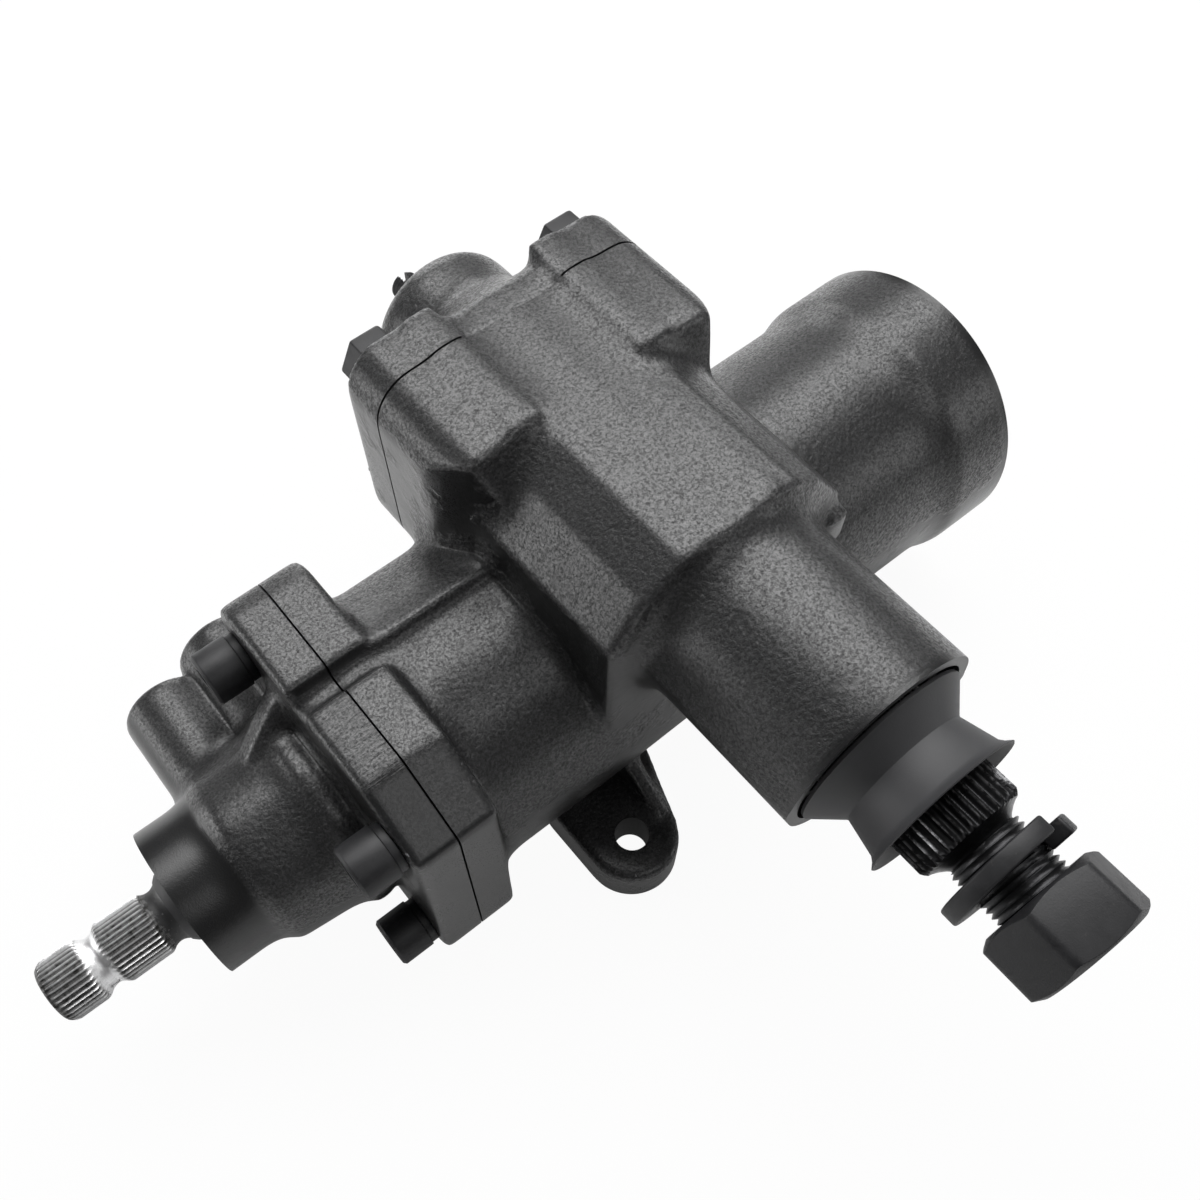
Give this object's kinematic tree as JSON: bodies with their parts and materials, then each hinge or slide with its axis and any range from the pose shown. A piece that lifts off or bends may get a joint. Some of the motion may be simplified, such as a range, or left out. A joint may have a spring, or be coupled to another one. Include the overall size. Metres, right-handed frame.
{
  "type": "steering gearbox",
  "caption": "Power steering gearbox with a cast barrel, a splined input shaft, a rotary valve housing, hose ports, and a cross shaft ending in serrations and a nut.",
  "frame": {"origin": "foot of the sector shaft's axis on the machined face that bolts to the frame", "axes": "+X along the worm from the input shaft towards the big cylinder's end, +Y along the sector shaft towards the side cover, +Z away from the frame face"},
  "size_m": [0.343, 0.2835, 0.146],
  "materials": {
    "cast_black": "black paint over a rough sand casting, semi-gloss",
    "black_oxide": "black oxide steel, smooth and slightly glossy",
    "forged_steel": "dark oiled steel with bright tooth crests",
    "ground_steel": "bare machined steel",
    "seal_rubber": "smooth dark rubber",
    "seal_plastic": "brown filled seal plastic",
    "bronze": "machined bronze"
  },
  "bodies": {
    "housing": {"gear_housing": "cast_black", "valve_housing": "cast_black", "side_cover": "cast_black", "side_cover_bushing": "bronze", "sector_needle_bearing": "ground_steel", "sector_oil_seal": "seal_rubber", "seal_backup_washer": "forged_steel", "sector_outer_seal": "seal_rubber", "seal_retaining_ring": "ground_steel", "sector_dust_seal": "seal_rubber", "adjuster_locknut": "black_oxide", "worm_thrust_races": "ground_steel", "worm_thrust_rollers": "ground_steel", "input_needle_bearing": "ground_steel", "input_oil_seal": "seal_rubber", "input_seal_ring": "ground_steel", "input_dust_seal": "seal_rubber", "end_cap": "cast_black", "end_cap_seal": "seal_rubber", "end_cap_retaining_ring": "ground_steel", "valve_housing_seal": "seal_rubber", "side_cover_seal": "seal_rubber", "side_cover_bolts": "black_oxide", "valve_housing_bolts": "black_oxide", "valve_bolt_washers": "black_oxide", "port_seats": "bronze"},
    "sector": {"sector_shaft": "forged_steel", "adjuster_retainer": "forged_steel", "arm_nut": "black_oxide", "arm_lock_washer": "black_oxide"},
    "adjuster": {"adjuster_screw": "forged_steel"},
    "rack": {"rack_piston": "forged_steel", "piston_ring": "seal_plastic", "piston_plug": "forged_steel", "recirculating_balls": "ground_steel", "ball_return_guide": "forged_steel", "guide_clamp": "forged_steel", "guide_clamp_screws": "black_oxide"},
    "worm": {"worm_shaft": "ground_steel", "valve_sleeve": "ground_steel", "valve_sleeve_rings": "seal_plastic", "valve_sleeve_pins": "ground_steel"},
    "input": {"input_shaft": "ground_steel", "torsion_bar": "ground_steel", "torsion_bar_pin": "ground_steel"}
  },
  "joints": [
    {"name": "sector_swing", "type": "hinge", "parent": "housing", "child": "sector", "pos_m": [0, 0, 0.1089], "axis": [0, 1, 0], "range_deg": [-43, 43]},
    {"name": "rack_slide", "type": "slide", "parent": "housing", "child": "rack", "axis": [1, 0, 0], "range_m": [-0.0205, 0.0205]},
    {"name": "worm_turn", "type": "hinge", "parent": "housing", "child": "worm", "pos_m": [0, 0, 0.0545], "axis": [1, 0, 0], "range_deg": [-605, 605]},
    {"name": "input_twist", "type": "hinge", "parent": "worm", "child": "input", "pos_m": [0, 0, 0.0545], "axis": [1, 0, 0], "range_deg": [-7, 7], "stiffness_Nm_per_rad": 80},
    {"name": "adjuster_turn", "type": "hinge", "parent": "housing", "child": "adjuster", "pos_m": [0, 0, 0.1089], "axis": [0, 1, 0], "range_deg": [-180, 180]}
  ],
  "couplings": [
    {"joint": "rack_slide", "follows": "sector_swing", "m_per_rad": -0.027},
    {"joint": "worm_turn", "follows": "sector_swing", "ratio": 14}
  ]
}
